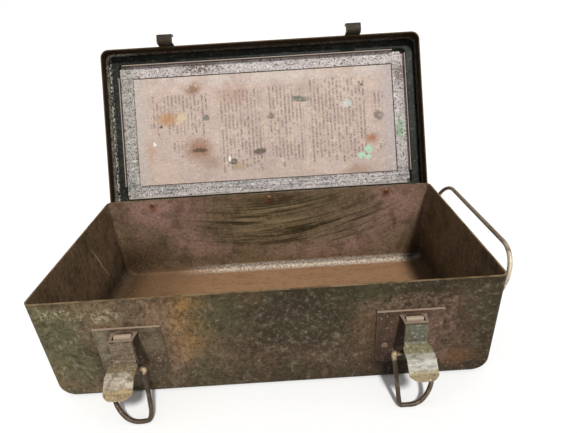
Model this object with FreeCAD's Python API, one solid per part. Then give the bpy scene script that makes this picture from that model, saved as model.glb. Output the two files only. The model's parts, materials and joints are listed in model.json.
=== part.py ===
import FreeCAD
import Part
import os
from math import acos, cos, sin, sqrt

# Gasketed steel document box: open lid, two toggle latches, one swing handle.
# Millimetres. Origin: centre of the underside of the body. +X right, +Y to the hinge side, +Z up.
# The latches are on the front, at -Y. All pieces are written in the rest pose, with the lid open.

V = FreeCAD.Vector
X, Y, Z = V(1, 0, 0), V(0, 1, 0), V(0, 0, 1)

# Body
LENGTH = 320.0
WIDTH = 159.0
HEIGHT = 87.0
SHEET = 1.2
EDGE_R = 5.0            # pressed edge round the front and rear panels
END_R = 12.0            # bend between the floor and each end
PANEL_FLANGE = 6.5      # depth of the panels' pressed edge, where they meet the wrap

# Lid
LID_SHEET = 1.0
LID_GAP = 1.3           # between the body wall and the inside of the skirt
SKIRT = 15.0            # how far the skirt hangs below the rim
GASKET_H = 4.7
GASKET_W = 9.8
GASKET_GAP = 0.3        # closed lid: gasket face above the rim
GASKET_CORNER_R = 4.0   # inner corners of the ring
GASKET_EDGE_R = 1.6
GASKET_BACK = 2.2
LID_TOP = HEIGHT + GASKET_GAP + GASKET_H + LID_SHEET
LID_R = 8.0
LID_OPEN = 116.2        # degrees from closed

# Gasket retainer angles and label
RETAINER_T = 0.8
RETAINER_FLANGE = 5.7
RETAINER_W = 13.0
RETAINER_GAP = 0.3
CARD_T = 0.3
CARD_MARGIN = 1.0

# Rivets: shank, larger heads on the body, smaller heads on the hooks, flat tails
RIVET_R = 1.3
HEAD_R = 2.3
HEAD_H = 1.0
HOOK_HEAD_R = 2.1
HOOK_HEAD_H = 0.9
TAIL_R = 2.0
TAIL_H = 0.5

# Hinge
LEAF_T = 0.8
HINGE_LEN = 270.0
KNUCKLES = 9
KNUCKLE_GAP = 0.4
BARREL_R = 2.4
PIN_R = 1.5
BORE_R = 1.55
HINGE_Y = WIDTH / 2 + LID_GAP + LID_SHEET + BARREL_R + 0.3
HINGE_Z = HEIGHT - SKIRT
HINGE_RIVET_X = (-117.0, 0.0, 117.0)
HINGE_RIVET_Z = HEIGHT - 5.5

# Latches: u is the distance out from the front wall, z is measured down from the rim
LATCH_X = 96.8
TOGGLE_X = LATCH_X + 1.2    # hood, lever and bail, a little outboard of the plate's middle
PLATE_W = 46.0
PLATE_TOP = HEIGHT - 23.0
PLATE_BOTTOM = HEIGHT - 68.5
PLATE_T = 1.2
PLATE_CORNER_R = 5.5
PLATE_RIVET_X = 16.5
PLATE_RIVET_Z = HEIGHT - 53.5
HOOD_TOP = HEIGHT - 25.8
HOOD_HALF = 9.5         # at the plate
HOOD_FRONT_HALF = 7.9
HOOD_SPLAY = 3.2
HOOD_SHEET = 1.1
HOOD_FRONT_Z = HEIGHT - 46.0
HOOD_REAR_Z = HEIGHT - 55.0
BEAD_R = 1.3
WINDOW_HALF = 6.5
WINDOW_BACK = 1.8
WINDOW_R = 2.5
P1_U = 9.4              # lever pivot: the bead along the front of the hood's roof
P1_Z = HOOD_TOP - BEAD_R
LEVER_T = 1.1
LEVER_FIT = 0.05
LEVER_HALF = 7.5        # upright face
TAB_HALF = 9.5          # thumb tab
SHOULDER_U = (13.0, 16.0)   # where the lever widens from its face to its tab
LUG_HALF = 5.8
LUMP_R = 2.1            # rolled end of the lever's hook, seen in the hood's window
TIP_R = 11.5            # round end of the thumb tab
TIP_U = 37.9
P2_U = 8.0              # bail pivot: holes in the lever's side webs
P2_Z = HEIGHT - 54.5
WEB_HALF = 6.4
WEB_T = 1.1

# Bails
WIRE_R = 1.65
BAIL_HALF = 13.0
BAIL_LEN = 35.5
BAIL_END = 4.8
BAIL_PIVOT_R = 2.6
BAIL_TIGHT_R = 4.0
BAIL_WIDE_R = 13.0
BAIL_FIT = 0.05
BAIL_LEAN = acos((P2_Z - WIRE_R) / BAIL_LEN)    # the loop's bar lies on the table

# Lid hooks
HOOK_X = 94.6
HOOK_W = 15.0
HOOK_T = 1.2
HOOK_FLOOR = 22.6       # below the rim, lid closed
HOOK_OUT = 11.0
HOOK_LIP = 14.6
HOOK_WEB = 1.35

# Handle on the right end
HANDLE_HALF = 68.8
HANDLE_R = 22.5
HANDLE_PIVOT_R = 3.6
HANDLE_FIT = 0.07
HANDLE_RIVET_DZ = 6.2
HANDLE_PIVOT_Z = HEIGHT - 24.0
HANDLE_PIVOT_X = LENGTH / 2 + WIRE_R + 0.05
GRIP_X = 170.8
GRIP_Z = HEIGHT + 5.6
SADDLE_Y = 58.0
SADDLE_W = 12.0
SADDLE_H = 19.0
SADDLE_T = 1.2

FRONT = -WIDTH / 2      # outer face of the front wall

os.makedirs("parts", exist_ok=True)


def save(name, shape):
    """Write one node."""
    shape.exportStep("parts/%s.step" % name)


def box(x0, y0, z0, x1, y1, z1):
    return Part.makeBox(x1 - x0, y1 - y0, z1 - z0, V(x0, y0, z0))


def cylinder(radius, start, end):
    axis = end - start
    return Part.makeCylinder(radius, axis.Length, start, axis)


def rounded_rect(half_x, half_y, radius, z0, z1):
    """Upright block with rounded vertical corners, centred on the Z axis."""
    block = box(-half_x, -half_y, z0, half_x, half_y, z1)
    upright = [e for e in block.Edges if abs(e.tangentAt(e.FirstParameter).z) > 0.99]
    return block.makeFillet(radius, upright)


def side_profile(points, half_width, centre_x):
    """Prism from an outline given as (u, z), u measured out from the front wall."""
    corners = [V(centre_x - half_width, FRONT - u, z) for u, z in points]
    face = Part.Face(Part.makePolygon(corners + corners[:1]))
    return face.extrude(X * (2 * half_width))


def bent_path(points, radii):
    """Wire of straight runs joined by tangent arcs; radii has one entry per inner point."""
    edges = []
    start = points[0]
    for before, corner, after, radius in zip(points, points[1:], points[2:], radii):
        a = (before - corner).normalize()
        b = (after - corner).normalize()
        half = a.getAngle(b) / 2
        reach = radius / (sin(half) / cos(half))
        middle = (a + b).normalize()
        centre = corner + middle * (radius / sin(half))
        arc_start = corner + a * reach
        arc_end = corner + b * reach
        if (arc_start - start).Length > 1e-6:
            edges.append(Part.LineSegment(start, arc_start).toShape())
        edges.append(Part.Arc(arc_start, centre - middle * radius, arc_end).toShape())
        start = arc_end
    edges.append(Part.LineSegment(start, points[-1]).toShape())
    return Part.Wire(edges)


def bent_wire(points, radii, radius):
    """Round wire along a bent path."""
    path = bent_path(points, radii)
    start = points[0]
    ring = Part.Wire(Part.makeCircle(radius, start, points[1] - start))
    return path.makePipeShell([ring], True, False)


def bent_strip(points, radii, thickness, half_width, centre_x):
    """Flat strip bent in the plane of (u, z); the points are its middle line."""
    line = [V(centre_x, FRONT - u, z) for u, z in points]
    path = bent_path(line, radii)
    along = (line[1] - line[0]).normalize()
    across = along.cross(X)
    w, t = X * half_width, across * (thickness / 2)
    start = line[0]
    corners = [start - w - t, start + w - t, start + w + t, start - w + t]
    sweep = Part.BRepOffsetAPI.MakePipeShell(path)
    sweep.setBiNormalMode(X)
    sweep.add(Part.makePolygon(corners + corners[:1]))
    sweep.build()
    sweep.makeSolid()
    return sweep.shape()


def rivet(surface, outward, head_r, head_h, grip, tail_r=0.0, tail_h=0.0):
    """Domed rivet: head on the surface, shank going in for grip, optional flat tail beyond it."""
    sphere_r = (head_r ** 2 + head_h ** 2) / (2 * head_h)
    ball = Part.makeSphere(sphere_r, surface + outward * (head_h - sphere_r))
    head = ball.common(cylinder(head_r + 1, surface, surface + outward * (head_h + 1)))
    end = surface - outward * grip
    shape = head.fuse(cylinder(RIVET_R, surface, end))
    if tail_h:
        shape = shape.fuse(cylinder(tail_r, end, end - outward * tail_h))
    return shape.removeSplitter()


def open_lid(shape):
    """Turn a lid piece from closed to its rest pose."""
    turned = shape.copy()
    turned.rotate(V(0, HINGE_Y, HINGE_Z), X, -LID_OPEN)
    return turned


# ---------------------------------------------------------------- body

def tub(inset, top):
    """Filled body shape, inset from its outer surface."""
    a = LENGTH / 2 - inset
    r = END_R - inset
    k = r * (1 - sqrt(0.5))
    y = -WIDTH / 2 + inset
    corner = [V(-a, y, inset + r), V(-a + r, y, inset), V(a - r, y, inset), V(a, y, inset + r)]
    rim = [V(a, y, top), V(-a, y, top)]
    outline = Part.Wire([
        Part.LineSegment(rim[1], corner[0]).toShape(),
        Part.Arc(corner[0], V(-a + k, y, inset + k), corner[1]).toShape(),
        Part.LineSegment(corner[1], corner[2]).toShape(),
        Part.Arc(corner[2], V(a - k, y, inset + k), corner[3]).toShape(),
        Part.LineSegment(corner[3], rim[0]).toShape(),
        Part.LineSegment(rim[0], rim[1]).toShape()])
    solid = Part.Face(outline).extrude(Y * (WIDTH - 2 * inset))
    ends = []
    for edge in solid.Edges:
        b = edge.BoundBox
        flat = b.YMax - b.YMin < 1e-6
        if flat and b.ZMin < top - 1e-6:
            ends.append(edge)
    return solid.makeFillet(EDGE_R - inset, ends)


def latch_rivet_points(side):
    return [V(side * LATCH_X + dx, FRONT - PLATE_T, PLATE_RIVET_Z)
            for dx in (-PLATE_RIVET_X, PLATE_RIVET_X)]


def saddle_rivet_points():
    return [V(LENGTH / 2 + SADDLE_T, y, HANDLE_PIVOT_Z + dz)
            for y in (-SADDLE_Y, SADDLE_Y) for dz in (-HANDLE_RIVET_DZ, HANDLE_RIVET_DZ)]


def make_body():
    shell = tub(0.0, HEIGHT).cut(tub(SHEET, HEIGHT + 10))
    seam = WIDTH / 2 - PANEL_FLANGE
    big = LENGTH
    front = shell.common(box(-big, -big, -1, big, -seam, HEIGHT + 1))
    rear = shell.common(box(-big, seam, -1, big, big, HEIGHT + 1))
    wrap = shell.common(box(-big, -seam, -1, big, seam, HEIGHT + 1))
    for side in (-1, 1):
        for p in latch_rivet_points(side):
            front = front.cut(cylinder(RIVET_R, p - Y * 2, p + Y * 4))
    for x in HINGE_RIVET_X:
        p = V(x, WIDTH / 2, HINGE_RIVET_Z)
        rear = rear.cut(cylinder(RIVET_R, p - Y * 3, p + Y * 3))
    for p in saddle_rivet_points():
        wrap = wrap.cut(cylinder(RIVET_R, p + X, p - X * 4))
    save("front_panel", front)
    save("rear_panel", rear)
    save("end_and_floor_wrap", wrap)


# ---------------------------------------------------------------- latches

def make_latch_plate(side):
    plate = box(-PLATE_W / 2, FRONT - PLATE_T, PLATE_BOTTOM, PLATE_W / 2, FRONT, PLATE_TOP)
    plate.translate(X * (side * LATCH_X))
    lower = [e for e in plate.Edges
             if abs(e.tangentAt(e.FirstParameter).y) > 0.99 and e.BoundBox.ZMax < PLATE_BOTTOM + 1]
    plate = plate.makeFillet(PLATE_CORNER_R, lower)
    x = side * TOGGLE_X
    front_u = P1_U + BEAD_R - 0.3
    outer = hood_block(x, 0.0, 0.3, front_u, HOOD_TOP)
    inner = hood_block(x, HOOD_SHEET, -1.0, front_u + 3, HOOD_TOP - HOOD_SHEET)
    hood = outer.cut(inner)
    roof_front = box(x - 20, FRONT - 30, HOOD_TOP - HOOD_SHEET, x + 20, FRONT - P1_U, HOOD_TOP + 1)
    hood = hood.cut(roof_front)
    bead = cylinder(BEAD_R, V(x - HOOD_FRONT_HALF, FRONT - P1_U, P1_Z),
                    V(x + HOOD_FRONT_HALF, FRONT - P1_U, P1_Z))
    window = box(x - WINDOW_HALF, FRONT - P1_U, HOOD_TOP - 2,
                 x + WINDOW_HALF, FRONT - WINDOW_BACK, HOOD_TOP + 1)
    corners = [e for e in window.Edges
               if abs(e.tangentAt(e.FirstParameter).z) > 0.99 and e.BoundBox.YMin > FRONT - P1_U + 1]
    window = window.makeFillet(WINDOW_R, corners)
    hood = hood.cut(window).fuse(bead)
    plate = plate.fuse(hood).removeSplitter()
    for p in latch_rivet_points(side):
        plate = plate.cut(cylinder(RIVET_R, p - Y * 2, p + Y * 4))
    return plate


def hood_block(x, inset, back_u, front_u, top):
    """Convex block, narrow in front, its sides spreading towards the plate and most at their foot."""
    def at(dx, u, z):
        return V(x + dx, FRONT - u, z)
    front, back = HOOD_FRONT_HALF - inset, HOOD_HALF - inset
    foot = back + HOOD_SPLAY
    left = [at(-back, back_u, top), at(-front, front_u, top),
            at(-front, front_u, HOOD_FRONT_Z), at(-foot, back_u, HOOD_REAR_Z)]
    right = [at(back, back_u, top), at(front, front_u, top),
             at(front, front_u, HOOD_FRONT_Z), at(foot, back_u, HOOD_REAR_Z)]
    faces = [
        [left[0], left[1], left[2]], [left[0], left[2], left[3]],
        [right[0], right[2], right[1]], [right[0], right[3], right[2]],
        [left[0], right[0], right[1], left[1]], [left[1], right[1], right[2], left[2]],
        [left[2], right[2], right[3], left[3]], [left[3], right[3], right[0], left[0]]]
    shell = Part.makeShell([Part.Face(Part.makePolygon(f + f[:1])) for f in faces])
    solid = Part.makeSolid(shell)
    if solid.Volume < 0:
        solid.reverse()
    return solid


def make_lever(side):
    x = side * TOGGLE_X
    inner_r = BEAD_R + LEVER_FIT
    outer_r = inner_r + LEVER_T
    pivot = V(0, FRONT - P1_U, P1_Z)
    # lug: half ring under the bead, ending in a rolled lump behind it
    a, b = V(x - LUG_HALF, 0, 0) + pivot, V(x + LUG_HALF, 0, 0) + pivot
    ring = cylinder(outer_r, a, b).cut(cylinder(inner_r, a - X, b + X))
    ring = ring.common(box(x - 20, -200, 0, x + 20, 0, P1_Z))
    lump_at = Y * 4.3 - Z * 0.2
    lump = cylinder(LUMP_R, a + lump_at, b + lump_at)
    lump = lump.cut(cylinder(inner_r, a - X, b + X))
    # face, flare and thumb tab: one strip
    mid_u = P1_U + inner_r + LEVER_T / 2
    tab = [(mid_u, P1_Z), (mid_u, HEIGHT - 42.2), (25.2, HEIGHT - 43.4), (32.2, HEIGHT - 49.6),
           (37.2, HEIGHT - 50.2)]
    strip = bent_strip(tab, [2.2, 3.4, 3.0], LEVER_T, TAB_HALF, x)
    strip = strip.common(lever_outline(x))
    # side webs that carry the bail
    web = [(mid_u, HEIGHT - 35.0), (mid_u, HEIGHT - 42.2), (21.0, HEIGHT - 43.2), (19.5, HEIGHT - 46.4),
           (P2_U + 2.6, P2_Z - 2.4), (P2_U - 2.6, P2_Z - 2.4), (P2_U - 1.8, P2_Z + 3.4)]
    parts = [ring, lump]
    for sign in (-1, 1):
        centre = x + sign * (WEB_HALF - WEB_T / 2)
        parts.append(side_profile(web, WEB_T / 2, centre))
    lever = strip.multiFuse(parts)
    axis = V(x - 20, FRONT - P2_U, P2_Z)
    lever = lever.cut(cylinder(WIRE_R + BAIL_FIT, axis, axis + X * 40))
    return lever.removeSplitter()


def lever_outline(x):
    """The lever seen from above: narrow face, shoulders, wide tab with a round end."""
    half = [(LEVER_HALF, 0), (LEVER_HALF, SHOULDER_U[0]), (TAB_HALF, SHOULDER_U[1]), (TAB_HALF, 30.0)]
    around = [V(x + dx, FRONT - u, 0) for dx, u in half]
    around += [V(x - dx, FRONT - u, 0) for dx, u in reversed(half)]
    sides = Part.Face(Part.makePolygon(around + around[:1])).extrude(Z * HEIGHT)
    return sides.fuse(Part.makeCylinder(TIP_R, HEIGHT, V(x, FRONT - TIP_U + TIP_R, 0)))


def make_bail(side):
    """D-shaped wire loop: tight corner towards the middle of the box, wide curve on the other side."""
    lean = V(0, -sin(BAIL_LEAN), -cos(BAIL_LEAN))
    origin = V(side * TOGGLE_X, FRONT - P2_U, P2_Z)

    def at(dx, s):
        return origin + X * (side * dx) + lean * s
    points = [at(-BAIL_END, 0), at(-BAIL_HALF, 0), at(-BAIL_HALF, BAIL_LEN),
              at(BAIL_HALF, BAIL_LEN), at(BAIL_HALF, 0), at(BAIL_END, 0)]
    return bent_wire(points, [BAIL_PIVOT_R, BAIL_TIGHT_R, BAIL_WIDE_R, BAIL_PIVOT_R], WIRE_R)


def make_latches():
    for side, name in ((-1, "left"), (1, "right")):
        save(name + "_latch_plate", make_latch_plate(side))
        save(name + "_latch_lever", make_lever(side))
        save(name + "_latch_bail", make_bail(side))
        grip = PLATE_T + SHEET
        rivets = [rivet(p, -Y, HEAD_R, HEAD_H, grip, TAIL_R, TAIL_H) for p in latch_rivet_points(side)]
        save(name + "_latch_rivets", Part.makeCompound(rivets))


# ---------------------------------------------------------------- handle

def make_handle():
    lean = V(GRIP_X - HANDLE_PIVOT_X, 0, GRIP_Z - HANDLE_PIVOT_Z)
    pivot = V(HANDLE_PIVOT_X, 0, HANDLE_PIVOT_Z)
    end = SADDLE_Y - SADDLE_W / 2 - 2
    points = [pivot - Y * end, pivot - Y * HANDLE_HALF, pivot - Y * HANDLE_HALF + lean,
              pivot + Y * HANDLE_HALF + lean, pivot + Y * HANDLE_HALF, pivot + Y * end]
    save("end_handle", bent_wire(points, [HANDLE_PIVOT_R, HANDLE_R, HANDLE_R, HANDLE_PIVOT_R], WIRE_R))
    wall = LENGTH / 2
    for y, name in ((-SADDLE_Y, "front"), (SADDLE_Y, "rear")):
        y0, y1 = y - SADDLE_W / 2, y + SADDLE_W / 2
        low, high = HANDLE_PIVOT_Z - SADDLE_H / 2, HANDLE_PIVOT_Z + SADDLE_H / 2
        foot = box(wall, y0, low, wall + SADDLE_T, y1, high)
        across = [e for e in foot.Edges if abs(e.tangentAt(e.FirstParameter).x) > 0.99]
        foot = foot.makeFillet(2.5, across)
        a = V(HANDLE_PIVOT_X, y0, HANDLE_PIVOT_Z)
        b = V(HANDLE_PIVOT_X, y1, HANDLE_PIVOT_Z)
        bore = WIRE_R + HANDLE_FIT
        saddle = foot.fuse(cylinder(bore + SADDLE_T, a, b))
        saddle = saddle.cut(box(wall - 9, y0 - 1, 0, wall, y1 + 1, HEIGHT))
        saddle = saddle.cut(box(wall - 1, y0 - 1, HANDLE_PIVOT_Z - bore, HANDLE_PIVOT_X, y1 + 1,
                                HANDLE_PIVOT_Z + bore))
        saddle = saddle.cut(cylinder(bore, a - Y, b + Y))
        for p in saddle_rivet_points():
            saddle = saddle.cut(cylinder(RIVET_R, p + X, p - X * 4))
        save("handle_saddle_" + name, saddle.removeSplitter())
    grip = SADDLE_T + SHEET
    rivets = [rivet(p, X, HEAD_R, HEAD_H, grip, TAIL_R, TAIL_H) for p in saddle_rivet_points()]
    save("handle_rivets", Part.makeCompound(rivets))


# ---------------------------------------------------------------- lid, drawn closed and then opened

LID_HALF_X = LENGTH / 2 + LID_GAP + LID_SHEET
LID_HALF_Y = WIDTH / 2 + LID_GAP + LID_SHEET
RECESS_X = LID_HALF_X - LID_SHEET - 0.5 - GASKET_W      # inside of the gasket
RECESS_Y = LID_HALF_Y - LID_SHEET - 0.5 - GASKET_W
LID_FLOOR = LID_TOP - LID_SHEET                         # inner face of the lid's top


def hook_rivet_points(side):
    return [V(side * HOOK_X + dx, -LID_HALF_Y - HOOK_T, HEIGHT - 4.0) for dx in (-4.6, 4.6)]


def make_lid_shell():
    outer = rounded_rect(LID_HALF_X, LID_HALF_Y, LID_R, HEIGHT - SKIRT, LID_TOP)
    top = [e for e in outer.Edges if e.BoundBox.ZMin > LID_TOP - 1e-6]
    outer = outer.makeFillet(3.5, top)
    inner = rounded_rect(LID_HALF_X - LID_SHEET, LID_HALF_Y - LID_SHEET, LID_R - LID_SHEET,
                         HEIGHT - SKIRT - 5, LID_FLOOR)
    top = [e for e in inner.Edges if e.BoundBox.ZMin > LID_FLOOR - 1e-6]
    inner = inner.makeFillet(2.5, top)
    shell = outer.cut(inner)
    for side in (-1, 1):
        for p in hook_rivet_points(side):
            shell = shell.cut(cylinder(RIVET_R, p - Y, p + Y * 4))
    save("lid_shell", open_lid(shell))


def make_gasket():
    face = HEIGHT + GASKET_GAP
    outer = rounded_rect(RECESS_X + GASKET_W, RECESS_Y + GASKET_W, LID_R - 1.5, face, LID_FLOOR)
    inner = rounded_rect(RECESS_X, RECESS_Y, GASKET_CORNER_R, face - 1, LID_FLOOR + 1)
    ring = outer.cut(inner)
    ring = ring.makeFillet(GASKET_EDGE_R, [e for e in ring.Edges if e.BoundBox.ZMax < face + 1e-6])
    # chamfer that clears the rounded corner inside the lid
    back = [e for e in ring.Edges if e.BoundBox.ZMin > LID_FLOOR - 1e-6 and outermost(e)]
    ring = ring.makeChamfer(GASKET_BACK, back)
    save("lid_gasket", open_lid(ring))


def outermost(edge):
    """True for an edge on the gasket's outer wall."""
    middle = edge.valueAt((edge.FirstParameter + edge.LastParameter) / 2)
    return abs(middle.x) > RECESS_X + 1 or abs(middle.y) > RECESS_Y + 1


def make_retainers():
    """Four angles that hold the gasket; each has a flange beside it and a flat on the lid."""
    x0, y0 = RECESS_X - 0.1, RECESS_Y - 0.1
    low = LID_FLOOR - RETAINER_FLANGE
    w, t, g = RETAINER_W, RETAINER_T, RETAINER_GAP
    flat = LID_FLOOR - t
    corner = 4.2
    right_edge = x0 - w - g
    strips = {
        "front": [box(-x0 + corner, -y0, low, right_edge, -y0 + t, LID_FLOOR),
                  box(-x0 + corner, -y0, flat, right_edge, -y0 + w, LID_FLOOR),
                  box(-x0 + t, -y0 + corner, flat, -x0 + corner, -y0 + w, LID_FLOOR)],
        "left": [box(-x0, -y0 + w + g, low, -x0 + t, y0 - w - g, LID_FLOOR),
                 box(-x0, -y0 + w + g, flat, -x0 + w, y0 - w - g, LID_FLOOR)],
        "right": [box(x0 - t, -y0 + corner, low, x0, y0 - w - g, LID_FLOOR),
                  box(x0 - w, -y0 + corner, flat, x0, y0 - w - g, LID_FLOOR),
                  box(x0 - w, -y0 + t, flat, x0 - corner, -y0 + corner, LID_FLOOR)],
        "rear": [box(-x0 + corner, y0 - t, low, x0 - corner, y0, LID_FLOOR),
                 box(-x0 + corner, y0 - w, flat, x0 - corner, y0, LID_FLOOR),
                 box(-x0 + t, y0 - w, flat, x0 - t, y0 - corner, LID_FLOOR)]}
    for name, pieces in strips.items():
        strip = pieces[0].multiFuse(pieces[1:]).removeSplitter()
        save("gasket_retainer_" + name, open_lid(strip))
    card_x, card_y = x0 - w - CARD_MARGIN, y0 - w - CARD_MARGIN
    save("label_card", open_lid(box(-card_x, -card_y, LID_FLOOR - CARD_T, card_x, card_y, LID_FLOOR)))


def make_hooks():
    base_u = LID_GAP + LID_SHEET + HOOK_T / 2
    floor = HEIGHT - HOOK_FLOOR
    line = [(base_u, HEIGHT + 1.0), (base_u, floor), (HOOK_OUT, floor), (HOOK_OUT + 1.0, HEIGHT - HOOK_LIP)]
    web = [(base_u, floor), (HOOK_OUT - 0.5, floor), (HOOK_OUT + 0.4, floor + 4.5),
           (HOOK_OUT - 1.6, floor + HOOK_T / 2 + HOOK_WEB), (base_u, floor + HOOK_T / 2 + HOOK_WEB)]
    for side, name in ((-1, "left"), (1, "right")):
        x = side * HOOK_X
        hook = bent_strip(line, [2.0, 2.4], HOOK_T, HOOK_W / 2, x)
        webs = [side_profile(web, HOOK_T / 2, x + s * (HOOK_W / 2 - HOOK_T / 2)) for s in (-1, 1)]
        hook = hook.multiFuse(webs)
        for p in hook_rivet_points(side):
            hook = hook.cut(cylinder(RIVET_R, p - Y, p + Y * 4))
        save(name + "_lid_hook", open_lid(hook.removeSplitter()))
        rivets = [rivet(p, -Y, HOOK_HEAD_R, HOOK_HEAD_H, HOOK_T + LID_SHEET) for p in hook_rivet_points(side)]
        save(name + "_hook_rivets", open_lid(Part.makeCompound(rivets)))


# ---------------------------------------------------------------- hinge

def knuckle_spans():
    """(start, end, on_body) for each knuckle, left to right."""
    pitch = HINGE_LEN / KNUCKLES
    spans = []
    for i in range(KNUCKLES):
        x0 = -HINGE_LEN / 2 + i * pitch
        spans.append((x0 + KNUCKLE_GAP / 2, x0 + pitch - KNUCKLE_GAP / 2, i % 2 == 0))
    return spans


def barrel(x0, x1):
    a, b = V(x0, HINGE_Y, HINGE_Z), V(x1, HINGE_Y, HINGE_Z)
    return cylinder(BARREL_R, a, b).cut(cylinder(BORE_R, a - X, b + X))


def make_hinge():
    half = HINGE_LEN / 2
    wall = WIDTH / 2
    lid_face = LID_HALF_Y
    bore = cylinder(BORE_R, V(-half - 5, HINGE_Y, HINGE_Z), V(half + 5, HINGE_Y, HINGE_Z))
    low = HINGE_Z - BARREL_R
    body_leaf = box(-half, wall, low, half, wall + LEAF_T, HEIGHT - 2.5)
    lid_leaf = box(-half, lid_face, HINGE_Z + BARREL_R + 0.4, half, lid_face + LEAF_T, HEIGHT - 3.0)
    for x0, x1, on_body in knuckle_spans():
        if on_body:
            body_leaf = body_leaf.fuse(box(x0, wall, low, x1, HINGE_Y, low + LEAF_T))
            body_leaf = body_leaf.fuse(barrel(x0, x1))
        else:
            lid_leaf = lid_leaf.fuse(box(x0, lid_face, HINGE_Z, x1, lid_face + LEAF_T, HEIGHT - 3.0))
            lid_leaf = lid_leaf.fuse(barrel(x0, x1)).fuse(stop_lip(x0, x1))
    body_leaf = body_leaf.cut(bore)
    for x in HINGE_RIVET_X:
        p = V(x, wall, HINGE_RIVET_Z)
        body_leaf = body_leaf.cut(cylinder(RIVET_R, p - Y * 3, p + Y * 3))
    save("hinge_body_leaf", body_leaf.removeSplitter())
    save("hinge_lid_leaf", open_lid(lid_leaf.cut(bore).removeSplitter()))
    save("hinge_pin", cylinder(PIN_R, V(-half - 1, HINGE_Y, HINGE_Z), V(half + 1, HINGE_Y, HINGE_Z)))
    rivets = [rivet(V(x, wall - SHEET, HINGE_RIVET_Z), -Y, HEAD_R, HEAD_H, SHEET + LEAF_T)
              for x in HINGE_RIVET_X]
    save("hinge_rivets", Part.makeCompound(rivets))


def stop_lip(x0, x1):
    """Lip on a lid knuckle that meets the body leaf when the lid is fully open."""
    reach = HINGE_Y - WIDTH / 2 - LEAF_T - 0.3
    lip = box(x0, HINGE_Y - reach, HINGE_Z - 0.5, x1, HINGE_Y - BORE_R - 0.2, HINGE_Z + 0.5)
    lip.rotate(V(0, HINGE_Y, HINGE_Z), X, LID_OPEN)
    return lip


make_body()
make_latches()
make_handle()
make_lid_shell()
make_gasket()
make_retainers()
make_hooks()
make_hinge()
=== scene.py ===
import bpy
import bmesh
import json
from math import cos, radians, sin
from mathutils import Matrix, Vector, noise


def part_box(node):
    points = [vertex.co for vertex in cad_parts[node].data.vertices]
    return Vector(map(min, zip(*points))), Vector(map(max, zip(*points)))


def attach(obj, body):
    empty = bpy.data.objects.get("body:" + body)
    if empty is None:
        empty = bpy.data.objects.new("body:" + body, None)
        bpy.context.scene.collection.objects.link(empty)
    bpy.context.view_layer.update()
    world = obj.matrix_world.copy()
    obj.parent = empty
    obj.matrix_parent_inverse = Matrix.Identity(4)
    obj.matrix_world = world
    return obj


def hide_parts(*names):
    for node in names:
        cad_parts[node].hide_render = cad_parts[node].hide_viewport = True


with open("model.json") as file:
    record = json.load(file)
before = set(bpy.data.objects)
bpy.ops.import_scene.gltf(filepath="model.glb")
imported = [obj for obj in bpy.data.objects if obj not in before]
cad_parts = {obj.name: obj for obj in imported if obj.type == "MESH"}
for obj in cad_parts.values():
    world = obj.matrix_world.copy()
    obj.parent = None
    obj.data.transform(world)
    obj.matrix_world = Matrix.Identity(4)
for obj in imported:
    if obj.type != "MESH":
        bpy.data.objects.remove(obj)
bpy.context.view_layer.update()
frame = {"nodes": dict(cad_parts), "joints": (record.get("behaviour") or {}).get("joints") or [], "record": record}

# A worn, gasketed steel document box with its lid open. Metres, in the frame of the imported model.

MM = 0.001
NODES = frame["nodes"]
SLOT_OF = {part["node"]: part["material_slot"] for part in frame["record"]["subparts"]}
JOINTS = {joint["name"]: joint for joint in frame["joints"]}
HINGE = Vector(JOINTS["lid_hinge"]["pos_m"])
LID_OPEN = radians(JOINTS["lid_hinge"]["range_deg"][1])

PANEL_LOW, PANEL_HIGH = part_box("front_panel")
FRONT = PANEL_LOW.y
HALF = PANEL_HIGH.x
RIM = PANEL_HIGH.z
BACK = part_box("rear_panel")[1].y


def rgb(code):
    """Linear colour from a hexadecimal sRGB code."""
    values = []
    for i in (0, 2, 4):
        c = int(code[i:i + 2], 16) / 255
        values.append(c / 12.92 if c <= 0.04045 else ((c + 0.055) / 1.055) ** 2.4)
    return (*values, 1.0)


# ---------------------------------------------------------------- material layers

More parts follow.
